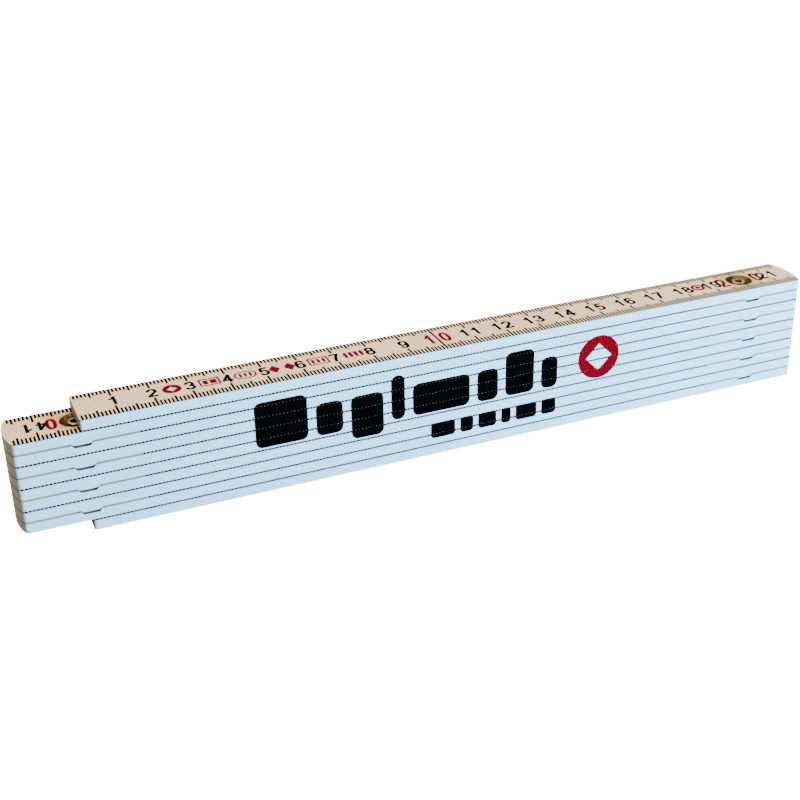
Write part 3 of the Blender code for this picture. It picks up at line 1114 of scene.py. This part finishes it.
class RULE_OT_marks(bpy.types.Operator):
    """Print the small red marks along the first decimetre of both outer faces"""

    bl_idname = "rule.marks"
    bl_label = "Red marks"

    def execute(self, context):
        limbs = context.scene.rule_limbs
        prints = context.scene.rule_prints
        ink = ink_material("red_mark_ink", prints.red)
        top = limb_top(1, limbs)
        for number, face, over in ((1, top, 1), (LIMB_COUNT, 0.0, -1)):
            solids = []
            heights = sorted((face - over * prints.ink_sunk, face + over * prints.ink_proud))
            for outline, hollow in flat_marks():
                solid = new_piece("mark", slab(on_limb(outline, over), *heights))
                if hollow:
                    inner = on_limb(hollow, over)
                    cutter = new_piece("mark_hollow", slab(inner, heights[0] - MM, heights[1] + MM))
                    solid = carve(solid, [(cutter, "DIFFERENCE")], "mark")
                solids.append(solid)
            piece = gather(f"red_marks_{number:02d}", solids, ink)
            settle(piece, section(number), "red_ink")
        return {"FINISHED"}


def gather(name, items, finish):
    """Join plain mesh objects into one piece."""
    shape = bmesh.new()
    for item in items:
        shape.from_mesh(item.data)
        discard(item)
    for face in shape.faces:
        face.material_index = 0
    piece = new_piece(name, shape)
    piece.data.materials.clear()
    piece.data.materials.append(finish)
    return piece


def side_skin(number, limbs, prints, start, stop):
    """Thin shell over the -Y side of a limb and part of its rims, between two places along X."""
    base = limb_base(number)
    top = limb_top(number, limbs)
    rim = limbs.rim_radius
    wrap = math.radians(84)
    steps = 6

    def skin_line(lift):
        centre_y = rim - HALF_WIDTH
        points = []
        reach = rim + lift
        for step in range(steps + 1):
            turn = -wrap * (1 - step / steps)
            points.append((centre_y - reach * math.cos(turn), base + rim + reach * math.sin(turn)))
        for step in range(steps + 1):
            turn = wrap * step / steps
            points.append((centre_y - reach * math.cos(turn), top - rim + reach * math.sin(turn)))
        return points

    outline = skin_line(prints.ink_proud) + list(reversed(skin_line(-prints.ink_sunk)))
    shape = loft([[(x, y, z) for y, z in outline] for x in (start, stop)])
    bmesh.ops.recalc_face_normals(shape, faces=shape.faces)
    return new_piece("side_skin", shape)


def side_print():
    """Filled side outlines by ink, in millimetres.

    They run along from the zero end, and down from the top of the rule."""
    high_top, low_top, base, low_base = -5.1, -8.8, -18.4, -21.6
    tall, small, deep = (high_top, base), (low_top, base), (low_top, low_base)
    blocks = [(14.6, tall), (7.6, small), (9.4, deep), (4.0, tall), (17.2, small), (6.4, small), (9.0, tall),
              (5.2, small)]
    gap = 2.35
    black = []
    along = 44.3
    for width, (high, low) in blocks:
        black.append(rounded(along + width / 2, (high + low) / 2, width, high - low, 1.9, 6))
        along += width + gap
    line_middle, line_height, line_gap = -24.35, 4.7, 1.62
    along = 94.6
    for width in (7.4, 4.0, 5.6, 3.0, 6.6, 4.6):
        black.append(rounded(along + width / 2, line_middle, width, line_height, 1.0, 5))
        along += width + line_gap
    red = [(rounded(147.6, -11.95, 13.4, 13.4, 6.7, 16), diamond(147.6, -11.95, 4.2, 4.2))]
    return [("black", [(outline, None) for outline in black]), ("red", red)]


class RULE_OT_side_print(bpy.types.Operator):
    """Print the blocks and the disc across the folded limbs' sides"""

    bl_idname = "rule.side_print"
    bl_label = "Side print"

    def execute(self, context):
        limbs = context.scene.rule_limbs
        prints = context.scene.rule_prints
        height = limb_top(1, limbs)
        for shade, outlines in side_print():
            # The side inks are copies of the broad faces' inks, shifted for the cool light on the sides:
            # painted light.
            ink = ink_material(f"{shade}_side_ink", getattr(prints, f"side_{shade}"))
            for number in range(1, LIMB_COUNT + 1):
                base = limb_base(number)
                top = base + LEVEL_PITCH
                pieces = []
                for outline, hollow in outlines:
                    placed = self.on_side(outline, height)
                    lows = [z for _, z in placed]
                    if min(lows) > top or max(lows) < base:
                        continue
                    start = min(x for x, _ in placed) - MM
                    stop = max(x for x, _ in placed) + MM
                    skin = side_skin(number, limbs, prints, start, stop)
                    tools = [(self.prism(placed), "INTERSECT")]
                    if hollow:
                        tools.append((self.prism(self.on_side(hollow, height)), "DIFFERENCE"))
                    cut = carve(skin, tools, "side_cut")
                    if cut.data.polygons:
                        pieces.append(cut)
                    else:
                        discard(cut)
                if pieces:
                    piece = gather(f"{shade}_side_print_{number:02d}", pieces, ink)
                    settle(piece, section(number), f"{shade}_ink")
        return {"FINISHED"}

    def on_side(self, outline, height):
        """An outline's points in metres along the rule and up, with the rule's top at height."""
        return [(x * MM - JOINT_REACH, height + z * MM) for x, z in outline]

    def prism(self, outline):
        """A solid that carries an outline in X and Z through the -Y side."""
        shape = loft([[(x, y, z) for x, z in outline] for y in (-HALF_WIDTH - MM, -HALF_WIDTH + MM)])
        bmesh.ops.recalc_face_normals(shape, faces=shape.faces)
        return new_piece("print_prism", shape)


# ---------------------------------------------------------------- brass
# the rosette's dish: share of its outer radius, and share of the way from its floor up to its lip
ROSETTE_DISH = ((0.60, 0.0), (0.70, 0.14), (0.80, 0.42), (0.88, 0.72), (0.935, 0.92))


def brass_piece(name, shape, sizes):
    """A smooth piece in the one brass material that all rivets and rosettes share."""
    piece = new_piece(name, shape, bpy.data.materials.get(BRASS) or brass_material(sizes))
    piece.data.shade_smooth()
    piece.data.set_sharp_from_angle(angle=math.radians(BRASS_SHARP))
    return piece


def crest(centre, reach, height, lift, steps, start, stop):
    """Points of an elliptic arc in (radius, height), angles in degrees."""
    points = []
    for step in range(steps + 1):
        turn = math.radians(start + (stop - start) * step / steps)
        points.append((centre + reach * math.cos(turn), height + lift * math.sin(turn)))
    return points


class RULE_OT_rivets(bpy.types.Operator):
    """Build the hollow brass rivets, star-crimped at one end and rolled at the other"""

    bl_idname = "rule.rivets"
    bl_label = "Rivets"

    def execute(self, context):
        limbs = context.scene.rule_limbs
        sizes = context.scene.rule_brass
        middle = (sizes.rivet_radius + sizes.bore_radius) / 2
        reach = (sizes.rivet_radius - sizes.bore_radius) / 2
        lift = sizes.head_rise
        neck = 0.4 * MM
        for number in range(1, LIMB_COUNT):
            top = limb_top(number, limbs) - sizes.head_depth - lift
            bottom = limb_base(number + 1) + sizes.head_depth + lift
            upper = crest(middle, reach, top, lift, 14, -60, 180)
            lower = [(radius, bottom + top - height) for radius, height in reversed(upper)]
            profile = lower + [(sizes.shank_radius, bottom + neck), (sizes.shank_radius, top - neck)] + upper
            star_up = number % 2 == 1

            def wave(index, turn):
                radius, height = profile[index]
                at_head = (height > top - lift) if star_up else (height < bottom + lift)
                if not at_head:
                    return 0.0, 0.0
                petal = math.cos(sizes.petals * turn)
                share = 1 - (radius - sizes.bore_radius) / (2 * reach)
                rise = sizes.petal_rise * petal * share
                return -sizes.petal_depth * (1 - petal) * share, rise if star_up else -rise

            shape = turned(profile, joint_x(number), RIVET_FACETS, True, wave)
            piece = brass_piece(f"brass_rivet_{number:02d}", shape, sizes)
            settle(piece, section(number), "joint_brass", f"rivet_{number:02d}")
        return {"FINISHED"}


class RULE_OT_rosettes(bpy.types.Operator):
    """Build the dished brass rings under each rivet head, one above and one below each joint"""

    bl_idname = "rule.rosettes"
    bl_label = "Rosettes"

    def execute(self, context):
        limbs = context.scene.rule_limbs
        sizes = context.scene.rule_brass
        for number in range(1, LIMB_COUNT):
            top = limb_top(number, limbs)
            bottom = limb_base(number + 1)
            for side, face, out, body in (("upper", top, 1, number), ("lower", bottom, -1, number + 1)):
                shape = turned(self.profile(sizes, face, out), joint_x(number), ROSETTE_FACETS, True)
                piece = brass_piece(f"{side}_rosette_{number:02d}", shape, sizes)
                settle(piece, section(body), "joint_brass", f"{side}_disc_spring_{number:02d}")
        return {"FINISHED"}

    def profile(self, sizes, face, out):
        """Section of a rosette as (radius, height); out is +1 on top of a joint and -1 underneath."""
        lip = face - out * sizes.rosette_lip
        floor = face - out * sizes.rosette_depth
        wall = out * sizes.rosette_wall
        inner = sizes.shank_radius + 0.2 * MM
        outer = sizes.rosette_radius
        rise = lip - floor
        front = [(inner, floor)]
        front += [(outer * share, floor + rise * climb) for share, climb in ROSETTE_DISH]
        front += [(outer - 0.1 * MM, lip), (outer, lip - wall * 0.3)]
        back = [(outer, lip - wall), (outer * 0.91, floor + rise * 0.42 - wall * 0.6),
                (outer * 0.78, floor - wall * 0.9), (outer * 0.62, floor - wall), (inner, floor - wall)]
        return front + back


# ---------------------------------------------------------------- stage
class RULE_OT_stage(bpy.types.Operator):
    """Set up the pale floor, the soft lights and the camera"""

    bl_idname = "rule.stage"
    bl_label = "Stage"

    def execute(self, context):
        sizes = context.scene.rule_stage
        self.floor(sizes)
        self.world()
        for softbox in SOFTBOXES:
            self.softbox(*softbox)
        self.camera(context, sizes)
        return {"FINISHED"}

    def floor(self, sizes):
        made, graph, shader, place = material("pale_floor")
        cloud = graph.noise(place, 3.0, 2.0, 0.5)
        darker = [part * 0.985 for part in sizes.floor_colour]
        tone = graph.mix(cloud, rgba(sizes.floor_colour), rgba(darker))
        finish_shader(graph, shader, tone, cloud * 0.1 + 0.7, cloud, 0.02, 0.001)
        seen = graph.node("ShaderNodeLightPath") * BACKDROP_GLOW
        glow = graph.node("ShaderNodeEmission", None, {"Color": rgba((1.0, 1.0, 1.0)), "Strength": seen})
        both = graph.node("ShaderNodeAddShader", None, {0: Link(graph, shader.outputs[0]), 1: glow})
        ends = [node for node in graph.tree.nodes if node.bl_idname == "ShaderNodeOutputMaterial"]
        graph.tree.links.new(both.socket, ends[0].inputs["Surface"])
        shape = bmesh.new()
        bmesh.ops.create_grid(shape, x_segments=1, y_segments=1, size=6.0)
        bmesh.ops.translate(shape, verts=shape.verts, vec=(0.0, 0.0, -FLOOR_SINK))
        floor = new_piece("studio_floor", shape, made)

    def world(self):
        world = bpy.data.worlds.new("studio")
        world.use_nodes = True
        graph = Graph(world.node_tree)
        sky = world.node_tree.nodes["Background"]
        sky.inputs["Color"].default_value = (1.0, 0.97, 0.95, 1.0)
        seen = graph.node("ShaderNodeLightPath")
        graph.tree.links.new((seen * BACKDROP_GLOW + SKY_LIGHT).socket, sky.inputs["Strength"])
        bpy.context.scene.world = world

    def softbox(self, name, place, size, power, tint):
        lamp = bpy.data.lights.new(name, "AREA")
        lamp.shape = "RECTANGLE"
        lamp.size, lamp.size_y = size
        lamp.energy = power
        lamp.color = tint
        made = bpy.data.objects.new(name, lamp)
        bpy.context.scene.collection.objects.link(made)
        made.location = place
        made.rotation_euler = (-Vector(place)).to_track_quat("-Z", "Y").to_euler()

    def camera(self, context, sizes):
        azimuth = math.radians(sizes.azimuth)
        elevation = math.radians(sizes.elevation)
        roll = math.radians(sizes.roll)
        ahead = Vector((math.sin(azimuth) * math.cos(elevation), math.cos(azimuth) * math.cos(elevation),
                        -math.sin(elevation)))
        right = ahead.cross(Vector((0, 0, 1))).normalized()
        up = right.cross(ahead)
        level_right = right * math.cos(roll) + up * math.sin(roll)
        level_up = up * math.cos(roll) - right * math.sin(roll)
        lens = bpy.data.cameras.new("camera")
        lens.lens = sizes.lens
        lens.sensor_width = 36.0
        lens.clip_start = 0.01
        made = bpy.data.objects.new("camera", lens)
        context.scene.collection.objects.link(made)
        turn = Matrix((level_right, level_up, -ahead)).transposed()
        made.matrix_world = Matrix.Translation(Vector(sizes.camera_place)) @ turn.to_4x4()
        context.scene.camera = made


class RULE_PT_panel(bpy.types.Panel):
    """Sizes, colours and building steps of the folding rule"""

    bl_idname = "RULE_PT_panel"
    bl_label = "Folding Rule"
    bl_space_type = "VIEW_3D"
    bl_region_type = "UI"
    bl_category = "Folding Rule"

    def draw(self, context):
        for steps, group in PANEL_ROWS:
            box = self.layout.box()
            for step in steps:
                box.operator(step)
            sizes = getattr(context.scene, group)
            for name in sizes.bl_rna.properties.keys():
                if name not in ("rna_type", "name"):
                    box.prop(sizes, name)


PANEL_ROWS = (
    (("rule.limbs",), "rule_limbs"),
    (("rule.scales", "rule.numbers", "rule.marks", "rule.side_print"), "rule_prints"),
    (("rule.rivets", "rule.rosettes"), "rule_brass"),
    (("rule.stage",), "rule_stage"),
)
GROUPS = {
    "rule_limbs": RuleLimbSizes,
    "rule_prints": RulePrintSizes,
    "rule_brass": RuleBrassSizes,
    "rule_stage": RuleStageSizes,
}
CLASSES = (
    *GROUPS.values(), RULE_OT_limbs, RULE_OT_scales, RULE_OT_numbers, RULE_OT_marks, RULE_OT_side_print,
    RULE_OT_rivets, RULE_OT_rosettes, RULE_OT_stage, RULE_PT_panel,
)


def register():
    for item in CLASSES:
        bpy.utils.register_class(item)
    for name, group in GROUPS.items():
        setattr(bpy.types.Scene, name, PointerProperty(type=group))


def unregister():
    for name in GROUPS:
        delattr(bpy.types.Scene, name)
    for item in reversed(CLASSES):
        bpy.utils.unregister_class(item)


def main():
    """Build every piece and the stage."""
    register()
    bpy.ops.rule.limbs()
    bpy.ops.rule.scales()
    bpy.ops.rule.numbers()
    bpy.ops.rule.marks()
    bpy.ops.rule.side_print()
    bpy.ops.rule.rivets()
    bpy.ops.rule.rosettes()
    bpy.ops.rule.stage()


if __name__ == "__main__":
    main()
